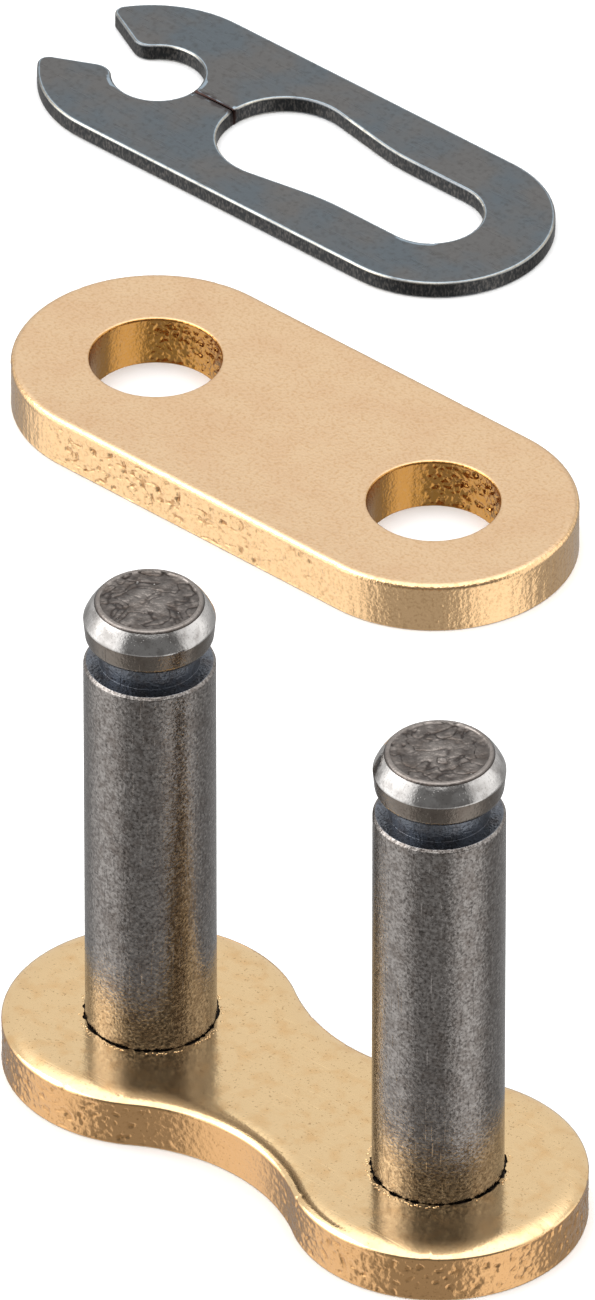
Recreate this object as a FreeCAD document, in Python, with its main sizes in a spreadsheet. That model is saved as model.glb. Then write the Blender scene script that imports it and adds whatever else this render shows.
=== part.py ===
# Connecting link of a roller chain, taken apart and laid out on a bench.
# Millimetres. +X runs along the pitch, from the left pin to the right pin, and +Z up the pins.
# The origin is on the underside of the pin link plate, midway between the two pins.

import FreeCAD, Part
import math
import os
import Sketcher

os.makedirs("parts", exist_ok=True)
doc = FreeCAD.newDocument("connecting_link")
sheet = doc.addObject("Spreadsheet::Sheet", "Sizes")

# Driving dimensions, each written once.
driving = (
    ("pitch", "15.875", "distance between the two pins"),
    ("pin_diameter", "5.5", "bearing diameter of a pin"),
    ("pin_stand", "21.2", "height of a pin tip above the link plate"),
    ("foot_step", "0.17", "how much the pressed foot stands out from the bearing length"),
    ("foot_stand", "0.02", "height of the pressed foot above the link plate"),
    ("foot_flare", "0.16", "height of the cone from the pressed foot to the bearing length"),
    ("foot_recess", "0.1", "depth of a pin foot inside the underside of the plate"),
    ("foot_chamfer", "0.2", "chamfer that leads the pin foot into the plate"),
    ("tip_flat_diameter", "4.4", "flat at the end of a pin"),
    ("tip_cone_height", "0.87", "height of the cone round the tip flat"),
    ("tip_round", "0.12", "rounding at both ends of the tip cone"),
    ("head_height", "1.9", "from the tip flat down to the clip groove"),
    ("head_draft", "0.08", "how far the head draws in towards its groove"),
    ("head_undercut", "0.2", "height of the chamfer between the head and its groove"),
    ("groove_width", "1.15", "height of the clip groove"),
    ("groove_diameter", "4.2", "diameter at the bottom of the clip groove"),
    ("shoulder_chamfer", "0.12", "broken edge below the clip groove"),
    ("plate_thickness", "2.35", "thickness of the pin link plate"),
    ("plate_end_radius", "6.25", "radius of the two lobes of the link plate"),
    ("waist_radius", "8.2", "radius of the hollows between the two lobes"),
    ("plate_roll", "0.3", "rounded upper edge left by blanking the link plate"),
    ("plate_break", "0.1", "broken lower edge of the link plate"),
    ("rim_chamfer", "0.1", "countersink round each pin in the upper face of the link plate"),
    ("cover_thickness", "2.35", "thickness of the cover plate"),
    ("cover_end_radius", "6.25", "radius of the round ends of the cover plate"),
    ("cover_fit", "0.2", "how much wider a cover bore is than a pin"),
    ("cover_roll", "0.3", "rounded upper edge left by blanking the cover plate"),
    ("cover_break", "0.1", "broken lower edge of the cover plate"),
    ("bore_roll", "0.12", "rounded upper rim of a cover bore"),
    ("clip_thickness", "0.8", "thickness of the spring clip"),
    ("clip_width", "10.3", "width of the spring clip across its sides"),
    ("clip_end_wall", "3.2", "width of the closed end behind the slot"),
    ("jaw_grip", "0.1", "how much narrower the jaw is than the pin groove"),
    ("prong_length", "4.85", "from the centre of the jaw to the prong tips"),
    ("prong_spread", "4.7", "distance between the two prong tips"),
    ("mouth_round", "0.85", "rounded lips where the mouth opens into the jaw"),
    ("prong_round", "0.5", "rounded prong tips"),
    ("keyhole_place", "7.4", "from the centre of the jaw to the centre of the keyhole"),
    ("keyhole_clearance", "0.5", "how much wider the keyhole is than a pin"),
    ("taper_length", "4.3", "from the centre of the keyhole to the end of its taper"),
    ("taper_round", "11.5", "rounding where the taper runs into the slot"),
    ("slot_clearance", "0.35", "how much wider the slot is than the pin groove"),
    ("slit_width", "0.08", "sheared split between the jaw and the keyhole"),
    ("clip_roll", "0.12", "tumbled edges of the spring clip"),
    ("bench_gap_cover", "22.5", "clear strip between the link plate and the cover plate"),
    ("bench_gap_clip", "6.2", "clear strip between the cover plate and the spring clip"),
    ("bench_row_angle", "41.4", "slant of the row in which the pieces are laid out"),
)
for row, (name, value, meaning) in enumerate(driving, start=1):
    sheet.set(f"A{row}", meaning)
    sheet.set(f"B{row}", value)
    sheet.setAlias(f"B{row}", name)
doc.recompute()

# Formulas that several pieces share.
half_pitch = "Sizes.pitch / 2"
pin_radius = "Sizes.pin_diameter / 2"
foot_radius = f"({pin_radius} + Sizes.foot_step)"
seat_top = "(Sizes.plate_thickness + Sizes.foot_stand)"
pin_top = "(Sizes.plate_thickness + Sizes.pin_stand)"
shoulder = f"({pin_top} - Sizes.head_height - Sizes.groove_width)"
half_clip = "Sizes.clip_width / 2"
slot_half = "(Sizes.groove_diameter + Sizes.slot_clearance) / 2"
keyhole_radius = "(Sizes.pin_diameter + Sizes.keyhole_clearance) / 2"

# How a sketch numbers the points of an edge, and its own two axes.
start_point, end_point, centre_point = range(1, 4)
x_axis, y_axis = range(-1, -3, -1)
tolerance = 1e-4


def size(formula):
    """Value that a formula has with the sheet's present numbers."""
    return float(sheet.evalExpression(formula))


def new_body(name):
    body = doc.addObject("PartDesign::Body", name)
    body.Label = name
    return body


def new_sketch(body, name, plane="XY_Plane"):
    """Empty sketch on one of the body's own origin planes."""
    sketch = body.newObject("Sketcher::SketchObject", name)
    planes = body.Origin.OriginFeatures
    sketch.AttachmentSupport = [(next(p for p in planes if p.Role == plane), "")]
    sketch.MapMode = "FlatFace"
    return sketch


def point(x, y):
    return FreeCAD.Vector(x, y, 0)


def add_line(sketch, start, end):
    return sketch.addGeometry(Part.LineSegment(point(*start), point(*end)), False)


def add_circle(sketch, x, y, radius):
    circle = Part.Circle(point(x, y), FreeCAD.Vector(0, 0, 1), radius)
    return sketch.addGeometry(circle, False)


def add_arc(sketch, x, y, radius, start_angle, end_angle):
    """Arc of a circle, run counterclockwise between two angles in radians."""
    circle = Part.Circle(point(x, y), FreeCAD.Vector(0, 0, 1), radius)
    return sketch.addGeometry(Part.ArcOfCircle(circle, start_angle, end_angle), False)


def relate(sketch, kind, *places):
    return sketch.addConstraint(Sketcher.Constraint(kind, *places))


def measure(sketch, formula, kind, *places):
    """Dimension of the sketch that follows a formula of the sheet."""
    index = sketch.addConstraint(Sketcher.Constraint(kind, *places, size(formula)))
    sketch.setExpression(f"Constraints[{index}]", formula)


def hold_point(sketch, geometry, place, x_formula, y_formula):
    """Ties a point to its distances from the sketch's origin."""
    for kind, formula, axis in (("DistanceX", x_formula, y_axis), ("DistanceY", y_formula, x_axis)):
        if formula == "0":
            relate(sketch, "PointOnObject", geometry, place, axis)
        else:
            measure(sketch, formula, kind, x_axis, start_point, geometry, place)


def add_profile(sketch, corners):
    """Closed outline of straight edges, with each corner held by its formulas."""
    spots = [(size(x), size(y)) for x, y in corners]
    lines = [add_line(sketch, a, b) for a, b in zip(spots, spots[1:] + spots[:1])]
    for line, following in zip(lines, lines[1:] + lines[:1]):
        relate(sketch, "Coincident", line, end_point, following, start_point)
    for line, corner in zip(lines, corners):
        hold_point(sketch, line, start_point, *corner)


def add_pin_holes(sketch, radius_formula):
    """Two equal circles on the pin centres."""
    radius, place = size(radius_formula), size(half_pitch)
    left = add_circle(sketch, -place, 0, radius)
    right = add_circle(sketch, place, 0, radius)
    hold_point(sketch, left, centre_point, f"-{half_pitch}", "0")
    hold_point(sketch, right, centre_point, half_pitch, "0")
    measure(sketch, radius_formula, "Radius", left)
    relate(sketch, "Equal", left, right)


def pad(body, sketch, name, length_formula):
    feature = body.newObject("PartDesign::Pad", name)
    feature.Profile = sketch
    feature.setExpression("Length", length_formula)
    doc.recompute()
    return feature


def cut_through(body, sketch, name):
    """Pocket through the whole piece, above the sketch's plane."""
    before = body.Shape.Volume
    feature = body.newObject("PartDesign::Pocket", name)
    feature.Profile = sketch
    feature.Type = "ThroughAll"
    feature.Reversed = True
    doc.recompute()
    if not feature.Shape.Volume < before:
        raise RuntimeError(f"{name} cuts nothing")
    return feature


def dress_edges(body, kind, name, base, edges, formula):
    """Fillet or Chamfer on the named edges of the last feature."""
    feature = body.newObject(f"PartDesign::{kind}", name)
    feature.Base = (base, edges)
    feature.setExpression("Radius" if kind == "Fillet" else "Size", formula)
    doc.recompute()
    return feature


def level_edges(feature, height, closed=None):
    """Names of the edges that lie at one height, closed circles only, open ones only, or all."""
    names = []
    for number, edge in enumerate(feature.Shape.Edges, start=1):
        box = edge.BoundBox
        level = abs(box.ZMin - height) < tolerance and abs(box.ZMax - height) < tolerance
        if level and closed in (None, edge.isClosed()):
            names.append(f"Edge{number}")
    return names


def upright_edges(feature, spots):
    """Names of the upright edges that stand nearest to the given places."""
    names = []
    for x, y in spots:
        gaps = []
        for number, edge in enumerate(feature.Shape.Edges, start=1):
            box = edge.BoundBox
            if box.XLength < tolerance and box.YLength < tolerance:
                gaps.append((math.hypot(box.XMin - x, box.YMin - y), number))
        names.append(f"Edge{min(gaps)[1]}")
    return names


# Pin link plate: a blank with two lobes and a waist, bored for the two pins.
plate = new_body("pin_link_plate")
outline = new_sketch(plate, "plate_outline")
lobe, hollow, reach = size("Sizes.plate_end_radius"), size("Sizes.waist_radius"), size(half_pitch)
rise = math.sqrt((lobe + hollow) ** 2 - reach ** 2)
lean = math.atan2(rise, reach)
right_lobe = add_arc(outline, reach, 0, lobe, lean - math.pi, math.pi - lean)
left_lobe = add_arc(outline, -reach, 0, lobe, lean, 2 * math.pi - lean)
upper_waist = add_arc(outline, 0, rise, hollow, math.pi + lean, 2 * math.pi - lean)
lower_waist = add_arc(outline, 0, -rise, hollow, lean, math.pi - lean)
relate(outline, "Tangent", upper_waist, end_point, right_lobe, end_point)
relate(outline, "Tangent", lower_waist, start_point, right_lobe, start_point)
relate(outline, "Tangent", lower_waist, end_point, left_lobe, end_point)
relate(outline, "Tangent", upper_waist, start_point, left_lobe, start_point)
hold_point(outline, right_lobe, centre_point, half_pitch, "0")
hold_point(outline, left_lobe, centre_point, f"-{half_pitch}", "0")
measure(outline, "Sizes.plate_end_radius", "Radius", right_lobe)
measure(outline, "Sizes.waist_radius", "Radius", upper_waist)
relate(outline, "Equal", right_lobe, left_lobe)
relate(outline, "Equal", upper_waist, lower_waist)
blank = pad(plate, outline, "plate_blank", "Sizes.plate_thickness")
bores = new_sketch(plate, "plate_bores")
add_pin_holes(bores, foot_radius)
bored = cut_through(plate, bores, "plate_boring")
upper = level_edges(bored, size("Sizes.plate_thickness"), closed=False)
rolled = dress_edges(plate, "Fillet", "plate_rolled_edge", bored, upper, "Sizes.plate_roll")
rims = level_edges(rolled, size("Sizes.plate_thickness"), closed=True)
rimmed = dress_edges(plate, "Chamfer", "plate_countersinks", rolled, rims, "Sizes.rim_chamfer")
lower = level_edges(rimmed, 0, closed=False)
dress_edges(plate, "Chamfer", "plate_broken_edge", rimmed, lower, "Sizes.plate_break")

# Pins: turned bars with a clip groove under the head, pressed into the plate's bores.
pin_profile = (
    ("0", "Sizes.foot_recess"),
    (f"{foot_radius} - Sizes.foot_chamfer", "Sizes.foot_recess"),
    (foot_radius, "Sizes.foot_recess + Sizes.foot_chamfer"),
    (foot_radius, seat_top),
    (pin_radius, f"{seat_top} + Sizes.foot_flare"),
    (pin_radius, f"{shoulder} - Sizes.shoulder_chamfer"),
    (f"{pin_radius} - Sizes.shoulder_chamfer", shoulder),
    ("Sizes.groove_diameter / 2", shoulder),
    ("Sizes.groove_diameter / 2", f"{shoulder} + Sizes.groove_width"),
    (f"{pin_radius} - Sizes.head_draft", f"{shoulder} + Sizes.groove_width + Sizes.head_undercut"),
    (pin_radius, f"{pin_top} - Sizes.tip_cone_height"),
    ("Sizes.tip_flat_diameter / 2", pin_top),
    ("0", pin_top),
)
for name, place in (("pin_left", f"-{half_pitch}"), ("pin_right", half_pitch)):
    pin = new_body(name)
    section = new_sketch(pin, f"{name}_section", "XZ_Plane")
    add_profile(section, pin_profile)
    turned = pin.newObject("PartDesign::Revolution", f"{name}_turned")
    turned.Profile = section
    turned.ReferenceAxis = (section, ["V_Axis"])
    turned.Angle = 360
    doc.recompute()
    cone = level_edges(turned, size(pin_top))
    cone += level_edges(turned, size(f"{pin_top} - Sizes.tip_cone_height"))
    dress_edges(pin, "Fillet", f"{name}_tip", turned, cone, "Sizes.tip_round")
    pin.setExpression("Placement.Base.x", place)

# Cover plate: a round-ended blank with two bores that slip over the pins.
cover = new_body("cover_plate")
outline = new_sketch(cover, "cover_outline")
end = size("Sizes.cover_end_radius")
right_end = add_arc(outline, reach, 0, end, -math.pi / 2, math.pi / 2)
left_end = add_arc(outline, -reach, 0, end, math.pi / 2, 3 * math.pi / 2)
upper_side = add_line(outline, (reach, end), (-reach, end))
lower_side = add_line(outline, (-reach, -end), (reach, -end))
relate(outline, "Tangent", right_end, end_point, upper_side, start_point)
relate(outline, "Tangent", upper_side, end_point, left_end, start_point)
relate(outline, "Tangent", left_end, end_point, lower_side, start_point)
relate(outline, "Tangent", lower_side, end_point, right_end, start_point)
hold_point(outline, right_end, centre_point, half_pitch, "0")
hold_point(outline, left_end, centre_point, f"-{half_pitch}", "0")
measure(outline, "Sizes.cover_end_radius", "Radius", right_end)
relate(outline, "Equal", right_end, left_end)
blank = pad(cover, outline, "cover_blank", "Sizes.cover_thickness")
bores = new_sketch(cover, "cover_bores")
add_pin_holes(bores, f"{pin_radius} + Sizes.cover_fit / 2")
bored = cut_through(cover, bores, "cover_boring")
upper = level_edges(bored, size("Sizes.cover_thickness"), closed=False)
rolled = dress_edges(cover, "Fillet", "cover_rolled_edge", bored, upper, "Sizes.cover_roll")
rims = level_edges(rolled, size("Sizes.cover_thickness"), closed=True)
rimmed = dress_edges(cover, "Fillet", "cover_bore_rims", rolled, rims, "Sizes.bore_roll")
lower = level_edges(rimmed, 0, closed=False)
dress_edges(cover, "Chamfer", "cover_broken_edge", rimmed, lower, "Sizes.cover_break")
cover_row = "(Sizes.plate_end_radius + Sizes.bench_gap_cover + Sizes.cover_end_radius)"
cover.setExpression("Placement.Base.x", f"-{cover_row} * tan(Sizes.bench_row_angle)")
cover.setExpression("Placement.Base.y", cover_row)

# Spring clip: a flat spring with prongs that grip one pin groove and a slot that holds the other.
clip = new_body("spring_clip")
outline = new_sketch(clip, "clip_outline")
side = size(half_clip)
tip = (-size("Sizes.prong_length"), size("Sizes.prong_spread / 2"))
end_place = f"(Sizes.pitch + {slot_half} + Sizes.clip_end_wall - {half_clip})"
end_x = size(end_place)
nose = (tip[0] ** 2 + (side - tip[1]) ** 2) / (2 * (side - tip[1]))
nose_y = side - nose
tip_angle = math.atan2(tip[1] - nose_y, tip[0])
closed_end = add_arc(outline, end_x, 0, side, -math.pi / 2, math.pi / 2)
upper_side = add_line(outline, (end_x, side), (0, side))
upper_nose = add_arc(outline, 0, nose_y, nose, math.pi / 2, tip_angle)
upper_lead = add_line(outline, tip, (0, 0))
lower_lead = add_line(outline, (0, 0), (tip[0], -tip[1]))
lower_nose = add_arc(outline, 0, -nose_y, nose, -tip_angle, 3 * math.pi / 2)
lower_side = add_line(outline, (0, -side), (end_x, -side))
relate(outline, "Tangent", closed_end, end_point, upper_side, start_point)
relate(outline, "Tangent", upper_side, end_point, upper_nose, start_point)
relate(outline, "Coincident", upper_nose, end_point, upper_lead, start_point)
relate(outline, "Coincident", upper_lead, end_point, x_axis, start_point)
relate(outline, "Coincident", lower_lead, start_point, x_axis, start_point)
relate(outline, "Coincident", lower_lead, end_point, lower_nose, start_point)
relate(outline, "Tangent", lower_nose, end_point, lower_side, start_point)
relate(outline, "Tangent", lower_side, end_point, closed_end, start_point)
hold_point(outline, closed_end, centre_point, end_place, "0")
measure(outline, half_clip, "Radius", closed_end)
relate(outline, "Horizontal", upper_side)
relate(outline, "Horizontal", lower_side)
relate(outline, "PointOnObject", upper_nose, start_point, y_axis)
relate(outline, "PointOnObject", lower_nose, end_point, y_axis)
hold_point(outline, upper_lead, start_point, "-Sizes.prong_length", "Sizes.prong_spread / 2")
hold_point(outline, lower_lead, end_point, "-Sizes.prong_length", "-Sizes.prong_spread / 2")
blank = pad(clip, outline, "clip_blank", "Sizes.clip_thickness")

jaw_radius = "(Sizes.groove_diameter - Sizes.jaw_grip) / 2"
jaw = new_sketch(clip, "clip_jaw")
grip = add_circle(jaw, 0, 0, size(jaw_radius))
relate(jaw, "Coincident", grip, centre_point, x_axis, start_point)
measure(jaw, jaw_radius, "Radius", grip)
jawed = cut_through(clip, jaw, "clip_jaw_cut")

keyhole = new_sketch(clip, "clip_keyhole")
eye, eye_x = size(keyhole_radius), size("Sizes.keyhole_place")
slot, slot_end_x = size(slot_half), size("Sizes.pitch")
taper_end = "Sizes.keyhole_place + Sizes.taper_length"
throat = (size(taper_end), slot)
run = throat[0] - eye_x
opening = math.atan2(slot, run) + math.acos(eye / math.hypot(run, slot))
corner = (eye_x + eye * math.cos(opening), eye * math.sin(opening))
round_eye = add_arc(keyhole, eye_x, 0, eye, opening, 2 * math.pi - opening)
lower_taper = add_line(keyhole, (corner[0], -corner[1]), (throat[0], -throat[1]))
lower_wall = add_line(keyhole, (throat[0], -slot), (slot_end_x, -slot))
slot_end = add_arc(keyhole, slot_end_x, 0, slot, -math.pi / 2, math.pi / 2)
upper_wall = add_line(keyhole, (slot_end_x, slot), throat)
upper_taper = add_line(keyhole, throat, corner)
relate(keyhole, "Tangent", round_eye, end_point, lower_taper, start_point)
relate(keyhole, "Coincident", lower_taper, end_point, lower_wall, start_point)
relate(keyhole, "Tangent", lower_wall, end_point, slot_end, start_point)
relate(keyhole, "Tangent", slot_end, end_point, upper_wall, start_point)
relate(keyhole, "Coincident", upper_wall, end_point, upper_taper, start_point)
relate(keyhole, "Tangent", upper_taper, end_point, round_eye, start_point)
hold_point(keyhole, round_eye, centre_point, "Sizes.keyhole_place", "0")
hold_point(keyhole, slot_end, centre_point, "Sizes.pitch", "0")
measure(keyhole, keyhole_radius, "Radius", round_eye)
measure(keyhole, slot_half, "Radius", slot_end)
relate(keyhole, "Horizontal", upper_wall)
relate(keyhole, "Horizontal", lower_wall)
measure(keyhole, taper_end, "DistanceX", x_axis, start_point, lower_taper, end_point)
measure(keyhole, taper_end, "DistanceX", x_axis, start_point, upper_taper, start_point)
keyed = cut_through(clip, keyhole, "clip_keyhole_cut")

mouth_angle = math.atan2(tip[1], tip[0])
mouth = (size(jaw_radius) * math.cos(mouth_angle), size(jaw_radius) * math.sin(mouth_angle))
lips = upright_edges(keyed, (mouth, (mouth[0], -mouth[1])))
lipped = dress_edges(clip, "Fillet", "clip_lips", keyed, lips, "Sizes.mouth_round")
tips = upright_edges(lipped, (tip, (tip[0], -tip[1])))
tipped = dress_edges(clip, "Fillet", "clip_tips", lipped, tips, "Sizes.prong_round")
throats = upright_edges(tipped, (throat, (throat[0], -throat[1])))
eased = dress_edges(clip, "Fillet", "clip_throat", tipped, throats, "Sizes.taper_round")
rims = level_edges(eased, size("Sizes.clip_thickness")) + level_edges(eased, 0)
tumbled = dress_edges(clip, "Fillet", "clip_tumbled_edges", eased, rims, "Sizes.clip_roll")
slit = new_sketch(clip, "clip_slit")
slit_half = "Sizes.slit_width / 2"
add_profile(slit, (
    ("0", f"-{slit_half}"),
    ("Sizes.keyhole_place", f"-{slit_half}"),
    ("Sizes.keyhole_place", slit_half),
    ("0", slit_half),
))
cut_through(clip, slit, "clip_slit_cut")
clip_row = f"({cover_row} + Sizes.cover_end_radius + Sizes.bench_gap_clip + {half_clip})"
clip.setExpression("Placement.Base.x", f"-{half_pitch} - {clip_row} * tan(Sizes.bench_row_angle)")
clip.setExpression("Placement.Base.y", clip_row)

# Every feature has to be sound before anything is written.
doc.recompute()
for item in doc.Objects:
    if "Invalid" in item.State or "Error" in item.State:
        raise RuntimeError(f"{item.Name} failed: {item.State}")
bodies = [item for item in doc.Objects if item.TypeId == "PartDesign::Body"]
for body in bodies:
    if body.Shape.isNull() or not body.Shape.isValid():
        raise RuntimeError(f"{body.Label} has no sound shape")
    body.Shape.exportStep(f"parts/{body.Label}.step")
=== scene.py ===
import math

import bmesh
import bpy
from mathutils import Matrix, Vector, noise


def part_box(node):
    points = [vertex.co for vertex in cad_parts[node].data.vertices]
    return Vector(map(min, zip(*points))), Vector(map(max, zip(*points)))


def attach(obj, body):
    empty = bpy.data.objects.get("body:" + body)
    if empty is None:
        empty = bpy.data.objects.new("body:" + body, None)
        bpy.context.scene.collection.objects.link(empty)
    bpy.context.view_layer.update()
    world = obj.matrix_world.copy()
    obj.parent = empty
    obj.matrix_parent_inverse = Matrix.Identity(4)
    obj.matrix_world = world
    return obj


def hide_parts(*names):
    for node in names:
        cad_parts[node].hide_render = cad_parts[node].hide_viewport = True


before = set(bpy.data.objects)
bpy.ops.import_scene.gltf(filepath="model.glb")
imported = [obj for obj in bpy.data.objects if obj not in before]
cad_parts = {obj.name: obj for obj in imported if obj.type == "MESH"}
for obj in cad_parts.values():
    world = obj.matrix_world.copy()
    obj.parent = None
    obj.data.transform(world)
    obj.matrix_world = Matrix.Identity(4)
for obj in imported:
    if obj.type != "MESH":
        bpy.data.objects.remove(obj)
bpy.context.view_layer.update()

# Link plate: carries both pins. Carbon steel, blanked with two lobes and a waist, hardened,
# tumbled until its upper edge is round, and plated in polished gold. The punch leaves the wall
# smooth in the waist and torn in small folds round the lobes.
MM = 0.001
LINK_PITCH = 15.875 * MM
LINK_THICKNESS = 2.35 * MM
LOBE_RADIUS = 6.25 * MM
WAIST_RADIUS = 8.2 * MM
EDGE_ROLL = (1.0 * MM, 0.3 * MM)
LOWER_BREAK = 0.1 * MM
FOOT_RADIUS = 2.92 * MM
RIM_ROLL = (0.02 * MM, 0.02 * MM)
RIM_BREAK = 0.02 * MM
RIM_STEP = 0.5 * MM
WALL_STEP = 0.055 * MM
FLAT_MARGIN = 0.08 * MM
ROLL_STEPS = 9


def linear(code):
    """Linear colour of an sRGB hex code such as d9b26f."""
    channels = (int(code[i:i + 2], 16) / 255 for i in (0, 2, 4))
    return (*(c / 12.92 if c <= 0.04045 else ((c + 0.055) / 1.055) ** 2.4 for c in channels), 1.0)


def add_node(tree, kind, settings=(), links=()):
    """Adds a node to a tree, with its settings, the values of its sockets and the links into it."""
    node = tree.nodes.new(kind)
    for name, value in dict(settings).items():
        if isinstance(name, int) or name in node.inputs:
            node.inputs[name].default_value = value
        else:
            setattr(node, name, value)
    for name, source in dict(links).items():
        tree.links.new(source, node.inputs[name])
    return node


def new_material(name):
    """Material with an empty node tree, and that tree."""
    material = bpy.data.materials.new(name)
    material.use_nodes = True
    material.node_tree.nodes.clear()
    return material, material.node_tree


def arc(x, y, radius, start, end, step):
    """Points along an arc in the plane, without its last one."""
    count = max(3, math.ceil(abs(end - start) * radius / step))
    turns = (start + (end - start) * i / count for i in range(count))
    return [Vector((x + radius * math.cos(turn), y + radius * math.sin(turn))) for turn in turns]


def outward(loop):
    """Normals of a closed outline, to the right of the way it runs."""
    normals = []
    for before, after in zip(loop[-1:] + loop[:-1], loop[1:] + loop[:1]):
        along = (after - before).normalized()
        normals.append(Vector((along.y, -along.x)))
    return normals


def rolled_section(thickness, roll, lower_roll, step):
    """Section of a blanked edge as (inset, height), from the lower face up and over to the upper one."""
    quarter = math.pi / 2
    inward, downward = roll
    section = [(lower_roll + FLAT_MARGIN, 0.0)]
    for i in range(ROLL_STEPS + 1):
        turn = quarter * i / ROLL_STEPS
        section.append((lower_roll * (1 - math.sin(turn)), lower_roll * (1 - math.cos(turn))))
    rows = math.ceil((thickness - downward - lower_roll) / step)
    row_height = (thickness - downward - lower_roll) / rows
    section += [(0.0, lower_roll + row_height * i) for i in range(1, rows)]
    for i in range(ROLL_STEPS + 1):
        turn = quarter * i / ROLL_STEPS
        section.append((inward * (1 - math.cos(turn)), thickness - downward * (1 - math.sin(turn))))
    section.append((inward + FLAT_MARGIN, thickness))
    return section


def blanked(name, edges):
    """Flat piece whose edges are (outline, section, relief): the outer one runs counterclockwise.

    The depth of the relief is kept on the points, in mm, to paint brown shade into the tears.
    """
    mesh = bmesh.new()
    depth_layer = mesh.verts.layers.float.new("relief")
    lower, upper = [], []
    for loop, section, relief in edges:
        normals = outward(loop)
        rings = []
        for inset, height in section:
            ring = []
            for spot, normal in zip(loop, normals):
                depth = relief(spot, height)
                place = spot - normal * (inset + depth)
                ring.append(mesh.verts.new((place.x, place.y, height)))
                ring[-1][depth_layer] = depth / MM
            rings.append(ring)
        for below, above in zip(rings, rings[1:]):
            for i in range(len(loop)):
                j = (i + 1) % len(loop)
                mesh.faces.new((below[i], below[j], above[j], above[i]))
        for rim, rim_edges in ((rings[0], lower), (rings[-1], upper)):
            rim_edges += [mesh.edges.get((rim[i], rim[(i + 1) % len(rim)])) for i in range(len(rim))]
    for rim_edges, way in ((lower, -1), (upper, 1)):
        bmesh.ops.triangle_fill(mesh, edges=rim_edges, use_beauty=True, normal=(0, 0, way))
    bmesh.ops.recalc_face_normals(mesh, faces=mesh.faces)
    data = bpy.data.meshes.new(name)
    mesh.to_mesh(data)
    mesh.free()
    data.shade_smooth()
    piece = bpy.data.objects.new(name, data)
    bpy.context.scene.collection.objects.link(piece)
    return piece


def eased(value, low, high):
    """Rises from 0 to 1 as the value goes from low to high."""
    part = min(1.0, max(0.0, (value - low) / (high - low)))
    return part * part * (3 - 2 * part)


def lobe_wall(spot, height):
    """Depth of the link plate's wall: small folds round the lobes, calm in the waist, nicks on the rim."""
    x, y, z = spot.x / MM, spot.y / MM, height / MM
    top = LINK_THICKNESS / MM
    folds = noise.fractal(Vector((x * 3.6, y * 3.6, z * 3.4)), 0.6, 2.1, 3)
    dents = eased(noise.noise(Vector((x * 3.0, y * 3.0, z * 3.6 + 5.0))), 0.12, 0.5)
    rough = eased(noise.noise(Vector((x * 0.4, y * 0.4, 3.0))), -0.5, 0.1)
    calm = eased(abs(x), 1.5, 5.0)
    body = eased(z, 0.03, 0.25) * eased(top - z, 0.25, 0.5)
    nick = eased(noise.noise(Vector((x * 1.3, y * 1.3, 9.0))), 0.32, 0.55)
    rim = eased(top - z, 0.0, 0.06) * eased(z, top - 0.55, top - 0.3)
    depth = (0.028 + 0.03 * calm * (0.5 + 0.5 * rough)) * (0.5 + 0.5 * folds) + 0.035 * calm * dents
    return (body * depth + rim * nick * 0.035) * MM


def pressed_rim(spot, height):
    """Depth of the ragged rim that a pressed foot leaves in the plate: it leans in towards the pin."""
    x, y = spot.x / MM, spot.y / MM
    raised = eased(height / MM, LINK_THICKNESS / MM - 0.14, LINK_THICKNESS / MM - 0.03)
    ragged = eased(noise.fractal(Vector((x * 2.6, y * 2.6, 1.0)), 0.6, 2.2, 2), -0.3, 0.4)
    return -raised * (0.05 + 0.1 * ragged) * MM


reach = LINK_PITCH / 2
rise = math.sqrt((LOBE_RADIUS + WAIST_RADIUS) ** 2 - reach ** 2)
lean = math.atan2(rise, reach)
link_outline = arc(reach, 0, LOBE_RADIUS, lean - math.pi, math.pi - lean, WALL_STEP)
link_outline += arc(0, rise, WAIST_RADIUS, 2 * math.pi - lean, math.pi + lean, WALL_STEP)
link_outline += arc(-reach, 0, LOBE_RADIUS, lean, 2 * math.pi - lean, WALL_STEP)
link_outline += arc(0, -rise, WAIST_RADIUS, math.pi - lean, lean, WALL_STEP)
link_section = rolled_section(LINK_THICKNESS, EDGE_ROLL, LOWER_BREAK, WALL_STEP)
link_edges = [(link_outline, link_section, lobe_wall)]
rim_section = rolled_section(LINK_THICKNESS, RIM_ROLL, RIM_BREAK, RIM_STEP)
for place in (-reach, reach):
    foot_bore = arc(place, 0, FOOT_RADIUS, 2 * math.pi, 0, WALL_STEP)
    link_edges.append((foot_bore, rim_section, pressed_rim))
link_plate = blanked("link_plate_plated", link_edges)

# Gold plating over polished steel: bright and warm, faintly cloudy, with hairline scratches from
# handling, fine pores, and painted brown shade deep in the tears of the wall. Pores are really about
# 0.02 mm and are drawn at 0.1 mm to show.
CLOUD_SIZE = 0.8 * MM
WAVE_SIZE = 0.32 * MM
PORE_SIZE = 0.11 * MM
HAIRLINE_WIDTH = 0.12 * MM
HAIRLINE_LENGTH = 2.2 * MM
link_gold, tree = new_material("polished gold plating")
spot = add_node(tree, "ShaderNodeTexCoord")
slope = add_node(tree, "ShaderNodeSeparateXYZ", links={"Vector": spot.outputs["Normal"]})
upward = add_node(tree, "ShaderNodeMath", {"operation": "ABSOLUTE"}, {0: slope.outputs["Z"]})
wall = add_node(
    tree, "ShaderNodeMapRange",
    {"interpolation_type": "SMOOTHSTEP", "From Min": 0.7, "From Max": 0.3},
    {"Value": upward.outputs["Value"]},
)
clouds = add_node(
    tree, "ShaderNodeTexNoise", {"Scale": 1 / CLOUD_SIZE, "Detail": 3.0},
    {"Vector": spot.outputs["Object"]},
)
pores = add_node(
    tree, "ShaderNodeTexNoise", {"Scale": 1 / PORE_SIZE, "Detail": 2.0},
    {"Vector": spot.outputs["Object"]},
)
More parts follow.
